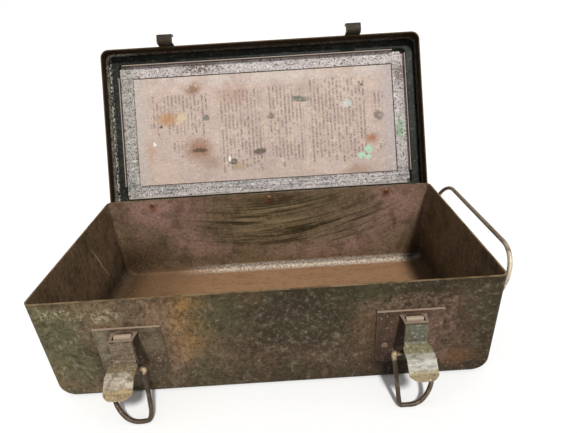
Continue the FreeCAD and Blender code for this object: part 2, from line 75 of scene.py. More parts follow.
class Finish:
    """One procedural material. Each call to layer() lays one more coat over the colour, gloss and relief."""

    def __init__(self, name, base, rough, specular=0.3, metallic=0.0, closed_lid=False):
        self.material = bpy.data.materials.new(name)
        self.material.use_nodes = True
        self.tree = self.material.node_tree
        self.shader = self.tree.nodes["Principled BSDF"]
        self.shader.inputs["Specular IOR Level"].default_value = specular
        self.shader.inputs["Metallic"].default_value = metallic
        coords = self.tree.nodes.new("ShaderNodeTexCoord")
        self.place = coords.outputs["Object"]
        self.normal = coords.outputs["Normal"]
        if closed_lid:
            self.place = self.add("ShaderNodeVectorRotate", {"Vector": self.place, "Center": HINGE,
                                  "Angle": LID_OPEN}, rotation_type="X_AXIS").outputs[0]
            self.normal = self.add("ShaderNodeVectorRotate", {"Vector": self.normal, "Center": (0, 0, 0),
                                   "Angle": LID_OPEN}, rotation_type="X_AXIS").outputs[0]
        self.colour = rgb(base)
        self.rough = rough
        self.height = 0.0
        self.axes = {}
        wobble = self.add("ShaderNodeTexNoise", {"Vector": self.place, "Scale": 1 / (9 * MM), "Detail": 3.0})
        wobble = self.vector("SUBTRACT", wobble.outputs["Color"], (0.5, 0.5, 0.5))
        self.ragged = self.vector("MULTIPLY_ADD", wobble, (8 * MM,) * 3, self.place)

    def add(self, kind, inputs, **settings):
        node = self.tree.nodes.new(kind)
        for key, value in settings.items():
            setattr(node, key, value)
        for key, value in inputs.items():
            self.put(node.inputs[key], value)
        return node

    def put(self, socket, value):
        if isinstance(value, bpy.types.NodeSocket):
            self.tree.links.new(value, socket)
        else:
            socket.default_value = value

    def math(self, op, *values, clamp=False):
        return self.add("ShaderNodeMath", dict(enumerate(values)), operation=op, use_clamp=clamp).outputs[0]

    def vector(self, op, *values):
        node = self.add("ShaderNodeVectorMath", dict(enumerate(values)), operation=op)
        return node.outputs["Value" if op in ("DOT_PRODUCT", "LENGTH") else "Vector"]

    def axis(self, name, source=None):
        """X, Y or Z of the place, or of another vector."""
        key = (name, source)
        if key not in self.axes:
            split = self.add("ShaderNodeSeparateXYZ", {0: source or self.place})
            for letter in "XYZ":
                self.axes[letter, source] = split.outputs[letter]
        return self.axes[key]

    def rise(self, value, low, high):
        """0 below low, 1 above high, smooth between; low above high turns it round."""
        node = self.add("ShaderNodeMapRange", {"Value": value}, interpolation_type="SMOOTHSTEP")
        flip = low > high
        node.inputs["From Min"].default_value = high if flip else low
        node.inputs["From Max"].default_value = low if flip else high
        node.inputs["To Min"].default_value = 1.0 if flip else 0.0
        node.inputs["To Max"].default_value = 0.0 if flip else 1.0
        return node.outputs[0]

    def noise(self, size, detail=4.0, rough=0.6, stretch=(1, 1, 1), seed=0, place=None, distortion=0.0):
        """Cloudy noise whose features are about size metres across, from 0 to 1."""
        place = self.vector("MULTIPLY_ADD", place or self.place, [1 / s for s in stretch], (seed * 1.7,) * 3)
        return self.add("ShaderNodeTexNoise", {"Vector": place, "Scale": 1 / size, "Detail": detail,
                        "Roughness": rough, "Distortion": distortion}).outputs["Fac"]

    def spot(self, centre, radii, soft=0.45, place=None):
        """Ragged patch round a centre; a radius of None leaves that axis out."""
        scale = [0.0 if r is None else 1 / r for r in radii]
        off = self.vector("SUBTRACT", place or self.ragged, centre)
        reach = self.vector("LENGTH", self.vector("MULTIPLY", off, scale))
        return self.rise(reach, 1 + soft, 1 - soft)

    def sides(self, centre):
        """Mask of the faces that look away from a centre, and of those that look towards it."""
        facing = self.vector("DOT_PRODUCT", self.normal, self.vector("SUBTRACT", self.place, centre))
        return self.rise(facing, -1 * MM, 1 * MM), self.rise(facing, 1 * MM, -1 * MM)

    def coats(self, region):
        """A layer() that reaches no further than one region."""
        def coat(mask, colour, strength, **more):
            self.layer(self.both(mask, region), colour, strength, **more)
        return coat

    def both(self, *masks):
        total = masks[0]
        for mask in masks[1:]:
            total = self.math("MULTIPLY", total, mask)
        return total

    def mix(self, mask, a, b):
        node = self.add("ShaderNodeMix", {"Factor": mask}, data_type="RGBA", clamp_factor=True)
        self.put(node.inputs[6], a)
        self.put(node.inputs[7], b)
        return node.outputs[2]

    def blend_value(self, mask, a, b):
        node = self.add("ShaderNodeMix", {"Factor": mask}, data_type="FLOAT", clamp_factor=True)
        self.put(node.inputs[2], a)
        self.put(node.inputs[3], b)
        return node.outputs[0]

    def layer(self, mask, colour=None, strength=1.0, rough=None, lift=0.0):
        """Coat the surface where mask is 1, at most by strength; lift is its thickness in metres."""
        if strength != 1.0:
            mask = self.math("MULTIPLY", mask, strength)
        if colour is not None:
            self.colour = self.mix(mask, self.colour, rgb(colour) if isinstance(colour, str) else colour)
        if rough is not None:
            self.rough = self.blend_value(mask, self.rough, rough)
        if lift:
            self.height = self.math("MULTIPLY_ADD", mask, lift, self.height)

    def worn_edges(self, width, colour, rough=0.45, strength=0.8):
        """Bare metal along the outer edges."""
        bevel = self.add("ShaderNodeBevel", {"Radius": width}, samples=6).outputs[0]
        true = self.add("ShaderNodeNewGeometry", {}).outputs["True Normal"]
        turn = self.vector("DOT_PRODUCT", bevel, true)
        mask = self.rise(self.math("ADD", turn, self.math("MULTIPLY", self.noise(3 * MM), 0.06)), 1.015, 0.93)
        self.layer(mask, colour, strength, rough)

    def finish(self, relief=1.0):
        self.put(self.shader.inputs["Base Color"], self.colour)
        self.put(self.shader.inputs["Roughness"], self.rough)
        if isinstance(self.height, bpy.types.NodeSocket):
            bump = self.add("ShaderNodeBump", {"Height": self.height, "Strength": relief, "Distance": 1.0})
            self.put(self.shader.inputs["Normal"], bump.outputs[0])
        return self.material


def grime(f, dark, light, amount=0.6, size=12 * MM):
    """Broad and fine mottling that every old surface of the box has."""
    f.layer(f.rise(f.noise(size * 2.5, 5, seed=3), 0.42, 0.64), dark, amount)
    f.layer(f.rise(f.noise(size * 0.5, 6, 0.7, seed=7), 0.5, 0.72), light, amount * 0.7)
    f.layer(f.rise(f.noise(size * 0.12, 5, 0.75, seed=11), 0.52, 0.7), dark, amount * 0.6)


def flecks(f, size, share, colour, strength=0.9, seed=0, lift=0.0, stretch=(1, 1, 1), where=None):
    """Small scattered chips; share is roughly how much of the surface they take."""
    mask = f.rise(f.noise(size, 3, 0.65, seed=seed + 20, stretch=stretch), 0.76 - share, 0.82 - share)
    if where is not None:
        mask = f.both(mask, where)
    f.layer(mask, colour, strength, lift=lift)


def make_body_paint():
    f = Finish("worn_body_paint", "57462f", 0.72, specular=0.12)
    x, y, z = f.axis("X"), f.axis("Y"), f.axis("Z")
    outside, inside = f.sides((0.0, 0.0, RIM / 2))
    outer_body(f, x, z, outside)
    inner_body(f, x, y, z, inside)
    fine_grain(f)
    rim = f.rise(z, RIM - 0.5 * MM, RIM - 0.2 * MM)
    f.layer(rim, f.mix(f.rise(f.noise(9 * MM), 0.35, 0.6), rgb("57462f"), rgb("7d694d")), 0.95, 0.6)
    return f.finish()


def outer_body(f, x, z, outside):
    """Outside of the panels: olive paint over brown and pink primer, worn through in patches."""
    coat = f.coats(outside)
    # broad fields across the front, from the lighter left end to the dark middle
    coat(f.rise(x, 0.0, -0.10), "7b6a4e", 0.75)
    coat(f.spot((-0.040, 0, 0.055), (0.085, None, 0.06), 0.6), "6d5741", 0.5)
    coat(f.spot((0.030, 0, 0.070), (0.060, None, 0.045), 0.7), "40352a", 0.8)
    coat(f.spot((0.085, 0, 0.088), (0.055, None, 0.022), 0.6), "383320", 0.85)
    coat(f.spot((0.095, 0, 0.030), (0.060, None, 0.045), 0.6), "5b4838", 0.6)
    # pink-brown primer
    for cx, cz, rx, rz, strength in ((-0.090, 0.052, 0.022, 0.030, 0.45), (-0.068, 0.022, 0.013, 0.032, 0.75),
                                     (-0.072, 0.068, 0.012, 0.020, 0.5), (0.132, 0.045, 0.014, 0.028, 0.55),
                                     (0.145, 0.078, 0.018, 0.010, 0.5), (-0.120, 0.010, 0.024, 0.012, 0.6),
                                     (0.020, 0.018, 0.060, 0.018, 0.25), (0.075, 0.060, 0.012, 0.030, 0.35)):
        coat(f.spot((cx, 0, cz), (rx, None, rz), 0.7), "94755f", strength)
    # ochre runs
    for cx, cz, rx, rz, strength in ((-0.054, 0.066, 0.011, 0.022, 0.7), (-0.048, 0.082, 0.018, 0.010, 0.5),
                                     (-0.060, 0.045, 0.010, 0.016, 0.4), (0.068, 0.048, 0.010, 0.018, 0.35),
                                     (-0.012, 0.084, 0.012, 0.006, 0.35)):
        coat(f.spot((cx, 0, cz), (rx, None, rz), 0.8), "9a7345", strength)
    # olive paint that is left
    olive = f.rise(f.noise(30 * MM, 5, 0.65, seed=5), 0.5, 0.62)
    coat(olive, "4a4730", 0.5)
    for cx, cz, rx, rz, strength in ((-0.148, 0.058, 0.020, 0.028, 0.75), (-0.135, 0.025, 0.012, 0.026, 0.6),
                                     (-0.030, 0.080, 0.016, 0.010, 0.6), (-0.035, 0.060, 0.020, 0.009, 0.5),
                                     (-0.048, 0.020, 0.016, 0.022, 0.45), (0.070, 0.078, 0.022, 0.012, 0.7),
                                     (0.150, 0.066, 0.014, 0.022, 0.6), (0.020, 0.052, 0.022, 0.008, 0.3)):
        coat(f.spot((cx, 0, cz), (rx, None, rz), 0.8), "4f5236", strength)
    # darker away from the left end, at the right end and towards the bottom; dirt as broad and fine dark mottling
    coat(f.rise(x, -0.09, 0.02), "21180e", 0.50)
    coat(f.both(f.rise(x, 0.10, 0.13), f.rise(z, 0.02, 0.05)), "1d160c", 0.30)
    coat(f.rise(z, 0.034, 0.004), "20170d", 0.30)
    coat(f.rise(f.noise(22 * MM, 7, 0.75, seed=55), 0.40, 0.64), "251c10", 0.50)
    coat(f.rise(f.noise(4 * MM, 7, 0.82, seed=15), 0.45, 0.60), "231a0f", 0.60)
    coat(f.spot((0.133, 0, 0.018), (0.014, None, 0.007), 0.7), "6e4a2e", 0.40)
    ragged_pink = f.rise(f.noise(5 * MM, 6, 0.8, seed=56), 0.44, 0.58)
    coat(f.both(ragged_pink, f.spot((0.095, 0, 0.068), (0.034, None, 0.008), 0.6)), "7c6254", 0.65)
    coat(f.both(ragged_pink, f.spot((0.124, 0, 0.040), (0.006, None, 0.028), 0.6)), "84685a", 0.65)
    # grey scuffs, in small clouds and short scratches
    coat(f.rise(f.noise(7 * MM, 7, 0.78, seed=9), 0.53, 0.68), "867a64", 0.40)
    near = f.spot((0.020, 0, 0.045), (0.055, None, 0.030), 0.6)
    coat(f.both(f.rise(f.noise(4 * MM, 7, 0.8, seed=13), 0.50, 0.66), near), "857c6a", 0.50)
    scratch = f.rise(f.noise(2.6 * MM, 6, 0.8, stretch=(1, 1, 2.6), seed=57), 0.55, 0.70)
    coat(f.both(scratch, f.rise(x, 0.0, -0.09)), "a1957e", 0.55)
    slant = f.rise(f.noise(3.0 * MM, 6, 0.8, stretch=(2.2, 1, 1), seed=59), 0.55, 0.70)
    coat(f.both(slant, f.rise(x, 0.06, 0.11)), "8d7c68", 0.50)
    # pale chips high on the left
    chips = f.rise(f.noise(3.2 * MM, 4, 0.7, seed=17), 0.50, 0.58)
    coat(f.both(chips, f.spot((-0.142, 0, 0.0775), (0.012, None, 0.0035), 0.5)), "a9a288", 0.75, rough=0.8)
    coat(f.both(chips, f.spot((-0.112, 0, 0.074), (0.014, None, 0.0045), 0.5)), "9f9880", 0.65, rough=0.8)
    coat(f.spot((-0.104, 0, 0.016), (0.010, None, 0.006), 0.6), "a79c8d", 0.5)
    # darker round the latches, and a painted shadow under each latch, by its bail
    for side in ("left", "right"):
        low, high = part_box(side + "_latch_plate")
        around = f.spot(((low.x + high.x) / 2, 0, (low.z + high.z) / 2 - 0.004), (0.029, None, 0.030), 0.35)
        coat(around, "1f170d", 0.45)
        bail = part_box(side + "_latch_bail")
        coat(f.spot((bail[0].x + 2 * MM, 0, 0.014), (0.010, None, 0.016), 0.8), "130d07", 0.7)
    # darker along the bottom, and worn dark patches along the top few millimetres
    coat(f.rise(z, 5 * MM, 1 * MM), "35271a", 0.7)
    worn = f.rise(f.noise(5 * MM, 5, seed=19), 0.35, 0.6)
    coat(f.both(f.rise(z, RIM - 6 * MM, RIM - 1 * MM), worn), "2f2518", 0.45)


def inner_body(f, x, y, z, inside):
    """Inside of the panels: brown wash over pink primer, brushed by wiping; orange-brown floor."""
    coat = f.coats(inside)
    coat(f.rise(z, -1.0, 0.0), "74604a", 1.0)
    coat(f.rise(f.noise(24 * MM, 5, 0.6, seed=25), 0.4, 0.62), "6b5a40", 0.8)
    coat(f.rise(f.noise(16 * MM, 6, 0.65, seed=27), 0.5, 0.66), "86695a", 0.5)
    # end walls: vertical wipe marks
    ends = f.rise(f.math("ABSOLUTE", x), HALF - 6 * MM, HALF - 3 * MM)
    wipes = f.rise(f.noise(5 * MM, 5, 0.7, stretch=(1, 1, 6), seed=29), 0.46, 0.66)
    coat(f.both(ends, wipes), "5c5034", 0.6)
    coat(f.both(ends, f.rise(f.noise(3 * MM, 4, 0.7, stretch=(1, 1, 5), seed=31), 0.55, 0.7)), "9c8a74", 0.4)
    # rear wall: pink corners, and long curved wipe marks in its middle
    rear = f.rise(y, BACK - 12 * MM, BACK - 5 * MM)
    for cx, cz, rx, rz, strength in ((-0.118, 0.075, 0.030, 0.018, 0.8), (-0.085, 0.060, 0.022, 0.030, 0.55),
                                     (0.128, 0.072, 0.026, 0.024, 0.8), (0.095, 0.045, 0.040, 0.020, 0.6),
                                     (-0.070, 0.030, 0.030, 0.012, 0.4), (0.050, 0.022, 0.050, 0.012, 0.5)):
        coat(f.both(rear, f.spot((cx, 0, cz), (rx, None, rz), 0.8)), "a27e72", strength)
    sag = f.math("MULTIPLY", f.math("POWER", f.math("ADD", x, 0.02), 2.0), -1.6)
    curved = f.add("ShaderNodeCombineXYZ", {"X": x, "Y": 0.0, "Z": f.math("ADD", z, sag)}).outputs[0]
    wiped = f.noise(2.8 * MM, 4, 0.65, stretch=(26, 1, 1), seed=33, place=curved, distortion=0.2)
    streaks = f.rise(wiped, 0.5, 0.6)
    field = f.spot((0.020, 0, 0.054), (0.095, None, 0.030), 0.5)
    coat(f.both(rear, field), "6c6043", 0.55)
    pale = f.rise(f.noise(3.0 * MM, 3, 0.6, stretch=(18, 1, 1), seed=35, place=curved), 0.54, 0.66)
    # painted shade low on the left of the rear wall
    coat(f.both(rear, f.spot((-0.150, 0, 0.022), (0.045, None, 0.018), 0.7)), "43301f", 0.75)
    coat(f.both(rear, f.rise(z, 20 * MM, 4 * MM)), "70553f", 0.5)
    # rust runs from the hinge rivets
    low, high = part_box("hinge_rivets")
    for rx in (low.x + 2 * MM, 0.0, high.x - 2 * MM):
        coat(f.both(rear, f.spot((rx, 0, low.z), (4 * MM, None, 4 * MM), 0.8)), "7a3c1c", 0.8)
    # floor
    floor = f.both(f.rise(z, 6 * MM, 2.5 * MM), f.rise(f.math("ABSOLUTE", x), HALF - 2 * MM, HALF - 12 * MM))
    coat(floor, "967253", 0.85)
    broad = f.noise(12 * MM, 5, 0.6, stretch=(4, 1, 1), seed=37)
    fine = f.noise(3.0 * MM, 5, 0.75, stretch=(3, 1, 1), seed=38)
    coat(f.both(floor, f.rise(broad, 0.45, 0.7)), "7e5f44", 0.6)
    # painted shade over the left part of the floor
    coat(f.both(floor, f.rise(x, -0.05, -0.14)), "5e452f", 0.75)
    coat(f.both(floor, f.rise(fine, 0.5, 0.66)), "5d4632", 0.45)
    # painted sheen along the rear of the floor: a pale band, with painted glints in it
    edge = f.both(inside, f.rise(y, BACK - 11 * MM, BACK - 5 * MM), f.rise(z, 8 * MM, 4 * MM))
    painted_glints = f.rise(f.noise(2.0 * MM, 5, 0.8, seed=39), 0.45, 0.55)
    band = f.rise(x, -0.11, -0.04)
    coat(f.both(edge, band), "9c8a76", 0.45)
    coat(f.both(edge, painted_glints, band), "ded6c8", 0.75, rough=0.3)
    # pale scratch on the left wall
    scratch_at = f.math("ADD", f.axis("Y"), f.math("MULTIPLY", z, 0.42))
    across = f.math("ABSOLUTE", f.math("SUBTRACT", scratch_at, 0.050))
    mark = f.both(f.rise(across, 1.4 * MM, 0.6 * MM), f.rise(z, 0.028, 0.032), f.rise(z, 0.070, 0.066),
                  f.rise(x, -HALF + 4 * MM, -HALF + 2 * MM))
    coat(mark, "a89884", 0.8)
    # dirt as broad clouds and fine speckle; painted shade low down near the end walls; dark lines where the rear
    # and front walls meet the floor
    walls = f.both(inside, f.rise(z, 3 * MM, 8 * MM))
    f.layer(f.both(walls, f.rise(f.noise(18 * MM, 6, 0.7, seed=40), 0.46, 0.64)), "33261a", 0.50)
    f.layer(f.both(walls, f.rise(f.noise(3.2 * MM, 6, 0.8, seed=42), 0.47, 0.64)), "2e2216", 0.55)
    f.layer(f.both(walls, f.rise(f.noise(2.6 * MM, 6, 0.8, seed=44), 0.56, 0.70)), "b39c88", 0.45)
    coat(f.both(rear, field, pale), "9d8667", 0.42)
    coat(f.both(rear, field, streaks), "2c2512", 0.85)
    # painted shade low down near the end walls
    painted_shade_near_ends = f.rise(f.math("ABSOLUTE", x), HALF - 34 * MM, HALF - 6 * MM)
    coat(f.both(painted_shade_near_ends, f.rise(z, 40 * MM, 8 * MM)), "23180e", 0.65)
    coat(f.both(f.rise(f.math("ABSOLUTE", y), BACK - 3.5 * MM, BACK - 1.5 * MM), f.rise(z, 7 * MM, 3 * MM)),
         "2a1e12", 0.5)
    flecks(f, 2.0 * MM, 0.13, "3a2b1b", 0.6, seed=41, where=inside)
    flecks(f, 1.4 * MM, 0.10, "b9a893", 0.5, seed=43, where=inside)


def fine_grain(f):
    """Pitted, slightly orange-peeled relief, and small light and dark flecks."""
    f.layer(f.rise(f.noise(1.6 * MM, 5, 0.75, seed=45), 0.5, 0.7), "2e2518", 0.35)
    f.layer(f.rise(f.noise(2.4 * MM, 5, 0.75, seed=47), 0.56, 0.72), "a3937a", 0.35)
    f.rough = f.blend_value(f.noise(6 * MM, 4, seed=49), 0.5, 0.85)
    f.height = f.math("MULTIPLY", f.noise(2.2 * MM, 6, 0.7, seed=51), 0.18 * MM)
    f.height = f.math("MULTIPLY_ADD", f.noise(40 * MM, 2, 0.4, seed=53), 1.2 * MM, f.height)


def make_lid_paint():
    f = Finish("worn_lid_paint", "3b2f22", 0.65, specular=0.1, closed_lid=True)
    z = f.axis("Z")
    grime(f, "241a12", "5d4a38", 0.8)
    # outside of the lid: olive paint worn to brown and a little pink, as the body has
    outside, inside = f.sides((0.0, 0.0, RIM - 8 * MM))
    f.layer(outside, "52462f", 0.9)
    f.layer(f.both(outside, f.rise(f.noise(34 * MM, 7, 0.7, seed=61), 0.48, 0.64)), "6a5442", 0.55)
    f.layer(f.both(outside, f.rise(f.noise(26 * MM, 7, 0.7, seed=63), 0.48, 0.62)), "434128", 0.65)
    f.layer(f.both(outside, f.rise(f.noise(7 * MM, 7, 0.8, seed=65), 0.54, 0.66)), "86795f", 0.50)
    f.layer(f.both(outside, f.rise(f.noise(4 * MM, 7, 0.82, seed=66), 0.46, 0.60)), "241b10", 0.55)
    # inside of the skirt: darkened nearly to black as painted shade, with a lighter rubbed lip and a speckled
    # chalky line by the gasket
    f.layer(inside, "211811", 0.75)
    f.layer(f.both(inside, f.rise(f.noise(9 * MM, 5, 0.7, seed=67), 0.5, 0.68)), "4a3122", 0.5)
    rubbed = f.rise(f.noise(7 * MM, 4, seed=68), 0.35, 0.6)
    f.layer(f.both(f.rise(z, RIM - 12.5 * MM, RIM - 14.5 * MM), rubbed), "5a4633", 0.7)
    chalk = f.both(inside, f.rise(z, RIM - 6 * MM, RIM - 2.5 * MM),
                   f.rise(f.noise(2.0 * MM, 5, 0.8, seed=70), 0.44, 0.54))
    f.layer(f.both(chalk, f.rise(f.axis("X"), -0.12, -0.15)), "c9c2b2", 0.9, 0.8)
    f.layer(f.both(chalk, f.rise(f.axis("X"), -0.15, -0.12)), "8a8070", 0.5, 0.8)
    flecks(f, 1.6 * MM, 0.12, "8a7a66", 0.4, seed=69)
    f.rough = f.blend_value(f.noise(6 * MM, 4, seed=71), 0.45, 0.8)
    f.height = f.math("MULTIPLY", f.noise(2.2 * MM, 6, 0.7, seed=73), 0.18 * MM)
    return f.finish()


def make_gasket_rubber():
    f = Finish("aged_gasket_rubber", "191b17", 0.5, specular=0.15, closed_lid=True)
    x = f.axis("X")
    f.layer(f.rise(f.noise(18 * MM, 5, seed=81), 0.45, 0.65), "2b2f28", 0.6)
    f.layer(f.rise(f.noise(4 * MM, 5, 0.7, seed=83), 0.54, 0.7), "55574b", 0.45)
    f.layer(f.rise(f.noise(5 * MM, 4, 0.7, seed=85), 0.56, 0.7), "0b0e0d", 0.7)
    flecks(f, 1.6 * MM, 0.12, "a3a396", 0.6, seed=87)
    flecks(f, 2.2 * MM, 0.12, "4a3323", 0.6, seed=88)
    # chalky residue where the ring meets the skirt, most on the left
    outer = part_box("lid_gasket")[0].x
    flecks(f, 1.8 * MM, 0.26, "c4bdac", 0.85, seed=90, where=f.rise(x, outer + 4.5 * MM, outer + 1 * MM))
    f.rough = f.blend_value(f.noise(7 * MM, 4, seed=89), 0.32, 0.65)
    f.height = f.math("MULTIPLY", f.noise(3 * MM, 4, seed=91), 0.12 * MM)
    return f.finish()


def make_retainer_paint():
    f = Finish("speckled_retainer_paint", "b3a8a4", 0.6, closed_lid=True)
    x, y, z = f.axis("X"), f.axis("Y"), f.axis("Z")
    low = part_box("label_card")[0]
    f.layer(f.rise(f.noise(14 * MM, 5, 0.6, seed=101), 0.42, 0.62), "c5bdba", 0.8)
    # greener on the left, streaked grey along the strip nearest the hinge
    f.layer(f.rise(x, low.x + 4 * MM, low.x - 4 * MM), "99988c", 0.5)
    mouldy = f.rise(f.noise(5 * MM, 5, 0.7, seed=103), 0.48, 0.64)
    f.layer(f.both(f.rise(x, low.x + 4 * MM, low.x - 6 * MM), mouldy), "5f6355", 0.6)
    rear = f.rise(y, 0.050, 0.056)
    streak = f.rise(f.noise(2.2 * MM, 4, 0.65, stretch=(20, 1, 1), seed=105), 0.45, 0.62)
    f.layer(f.both(rear, streak), "66706c", 0.75)
    chalky = f.rise(f.noise(2.0 * MM, 3, 0.65, stretch=(24, 1, 1), seed=107), 0.55, 0.66)
    f.layer(f.both(rear, chalky), "c9c3b8", 0.6)
    # rust patch on the front strip and a green one on the right strip
    rusty = f.both(f.spot((-0.067, -0.0640, 0), (0.018, 0.006, None), 0.7),
                   f.rise(f.noise(3 * MM, 5, 0.7, seed=109), 0.42, 0.56))
    f.layer(rusty, "5b4636", 0.9, 0.9)
    f.layer(f.spot((0.1430, 0.0115, 0), (0.004, 0.010, None), 0.6), "7fa17f", 0.85)
    f.layer(f.spot((0.1450, -0.047, 0), (0.005, 0.008, None), 0.8), "62493a", 0.7)
    # pits where the coat has lifted
    f.layer(f.rise(f.noise(4.5 * MM, 6, 0.8, seed=110), 0.56, 0.66), "6a5f58", 0.60)
    f.layer(f.rise(f.noise(2.2 * MM, 6, 0.85, seed=112), 0.55, 0.60), "3a3029", 0.75)
    flecks(f, 2.6 * MM, 0.19, "3b3129", 0.90, seed=111)
    flecks(f, 1.4 * MM, 0.21, "2c231c", 0.85, seed=113)
    flecks(f, 4.0 * MM, 0.15, "dcd7ce", 0.65, seed=115)
    # the flanges stand dark beside the gasket
    flange = f.rise(z, lid_floor() - 1.6 * MM, lid_floor() - 2.4 * MM)
    f.layer(flange, "4a3429", 0.85)
    f.layer(f.rise(z, lid_floor() - 5.3 * MM, lid_floor() - 5.6 * MM), "a99a8c", 0.8)
    f.height = f.math("MULTIPLY", f.noise(2.0 * MM, 6, 0.7, seed=117), 0.25 * MM)
    return f.finish()


def lid_floor():
    """Height of the lid's inner face when it is closed."""
    return RIM + 5.0 * MM


def make_label_paper():
    f = Finish("stained_label_paper", "b4a096", 0.75, specular=0.2, closed_lid=True)
    x, y = f.axis("X"), f.axis("Y")
    f.layer(f.rise(f.noise(30 * MM, 5, 0.6, seed=121), 0.4, 0.65), "bfaca2", 0.7)
    f.layer(f.rise(f.noise(9 * MM, 5, 0.6, seed=123), 0.5, 0.68), "a59389", 0.6)
    # lines of print run from the hinge side to the front; the words are only broken dashes
    pitch = 4.0 * MM
    run = f.math("DIVIDE", x, pitch)
    line = f.math("FLOOR", run)
    inside_line = f.math("SUBTRACT", run, line)
    stroke = f.both(f.rise(inside_line, 0.16, 0.26), f.rise(inside_line, 0.80, 0.70))
    uneven = f.add("ShaderNodeTexWhiteNoise", {"W": line}, noise_dimensions="1D").outputs["Value"]
    seat = f.add("ShaderNodeCombineXYZ", {"X": f.math("MULTIPLY", line, 0.37), "Y": y, "Z": 0.0}).outputs[0]
    words = f.rise(f.noise(5.5 * MM, 1, 0.5, seed=125, place=seat), 0.40, 0.46)
    letters = f.rise(f.noise(1.2 * MM, 4, 0.8, seed=127, stretch=(1.6, 0.8, 1)), 0.48, 0.54)
    ink = f.both(stroke, words, letters)
    blocks = None
    for x0, x1, y0, y1 in ((-0.122, -0.060, -0.038, 0.008), (-0.100, -0.062, 0.010, 0.030),
                           (-0.050, -0.002, -0.040, 0.050), (0.002, 0.042, -0.042, 0.046),
                           (0.046, 0.108, -0.046, 0.044), (0.114, 0.128, -0.030, -0.002),
                           (0.118, 0.128, 0.026, 0.042)):
        block = f.both(f.rise(x, x0, x0 + 1 * MM), f.rise(x, x1, x1 - 1 * MM), f.rise(y, y0, y0 + 1 * MM),
                       f.rise(f.math("MULTIPLY_ADD", uneven, 0.012, y), y1, y1 - 1 * MM))
        blocks = block if blocks is None else f.math("MAXIMUM", blocks, block)
    faded = f.rise(f.noise(22 * MM, 4, seed=129), 0.25, 0.5)
    f.layer(f.both(ink, blocks, faded), "4a3f39", 0.9)
    # small yellowish chalky flecks over the middle
    flecks(f, 2.6 * MM, 0.16, "c2a882", 0.55, seed=131)
    stains(f)
    # pale along the top and the right edge, dirty at the very edge
    f.layer(f.both(f.rise(y, -0.040, -0.050), f.rise(f.noise(24 * MM, 3, seed=133), 0.4, 0.6)), "c4bab2", 0.6)
    f.layer(f.rise(x, 0.118, 0.134), "a9a0a2", 0.6)
    f.layer(f.rise(x, -0.118, -0.132), "b0a7a0", 0.6)
    f.layer(f.rise(f.noise(2.2 * MM, 6, 0.8, seed=134), 0.50, 0.66), "86715f", 0.50)
    f.layer(f.rise(f.noise(3.4 * MM, 6, 0.8, seed=136), 0.56, 0.68), "dccfc5", 0.60)
    f.layer(f.rise(f.noise(7 * MM, 6, 0.8, seed=138), 0.54, 0.64), "d9c3a4", 0.45)
    flecks(f, 1.8 * MM, 0.12, "4b3f37", 0.8, seed=135)
    f.height = f.math("MULTIPLY_ADD", f.noise(3.0 * MM, 5, 0.65, seed=137), 0.30 * MM, f.height)
    return f.finish()


def stains(f):
    """Rust, damp and paint spots on the label: centre, radii, colour and strength."""
    soft = ((-0.0745, -0.0435, 0.007, 0.006, "7d5a3f", 0.8), (-0.104, -0.012, 0.010, 0.006, "a87c4e", 0.8),
            (-0.072, 0.022, 0.013, 0.011, "8a5f42", 0.75), (-0.060, 0.037, 0.009, 0.006, "94806b", 0.7),
            (-0.034, -0.035, 0.014, 0.010, "9c7c67", 0.45), (0.112, 0.0200, 0.006, 0.005, "96603c", 0.8),
            (-0.088, -0.012, 0.006, 0.006, "c7b392", 0.6), (-0.110, 0.045, 0.016, 0.014, "c0a897", 0.5),
            (0.095, 0.054, 0.012, 0.006, "8d6a52", 0.5), (-0.125, 0.022, 0.004, 0.012, "b5814f", 0.5),
            (-0.030, 0.042, 0.006, 0.004, "a8906c", 0.6))
    for cx, cy, rx, ry, colour, strength in soft:
        f.layer(f.spot((cx, cy, 0), (rx, ry, None), 0.7), colour, strength)
    hard = ((-0.071, 0.0225, 0.007, 0.0025, "3c3022", 0.8),
            (0.0385, -0.0255, 0.0095, 0.0034, "5a6157", 0.9),
            (-0.0073, 0.027, 0.0060, 0.0034, "54493f", 0.85),
            (0.0067, -0.0097, 0.0036, 0.0026, "5f5148", 0.85),
            (-0.0368, 0.0365, 0.0040, 0.0034, "4a4132", 0.8),
            (-0.0633, -0.0115, 0.0026, 0.0034, "616660", 0.8),
            (0.0882, -0.0178, 0.0044, 0.0036, "b3bdb8", 0.9),
            (0.1208, -0.0034, 0.0056, 0.0056, "6d6359", 0.85),
            (0.1215, -0.0030, 0.0026, 0.0026, "97897d", 0.8),
            (0.1084, 0.0320, 0.0040, 0.0040, "9fcdb0", 0.9),
            (0.0995, 0.0389, 0.0036, 0.0030, "9fcdb0", 0.9),
            (0.1069, 0.0404, 0.0034, 0.0024, "a5cfb4", 0.85),
            (-0.1192, 0.0127, 0.0018, 0.0018, "e3e6df", 0.9),
            (-0.110, -0.004, 0.0018, 0.0018, "3a2d22", 0.8),
            (-0.040, 0.0335, 0.0012, 0.0022, "ece8df", 0.9),
            (0.104, -0.036, 0.0020, 0.0016, "4b413a", 0.8))
    for cx, cy, rx, ry, colour, strength in hard:
        f.layer(f.spot((cx, cy, 0), (rx, ry, None), 0.3), colour, strength, lift=0.1 * MM)


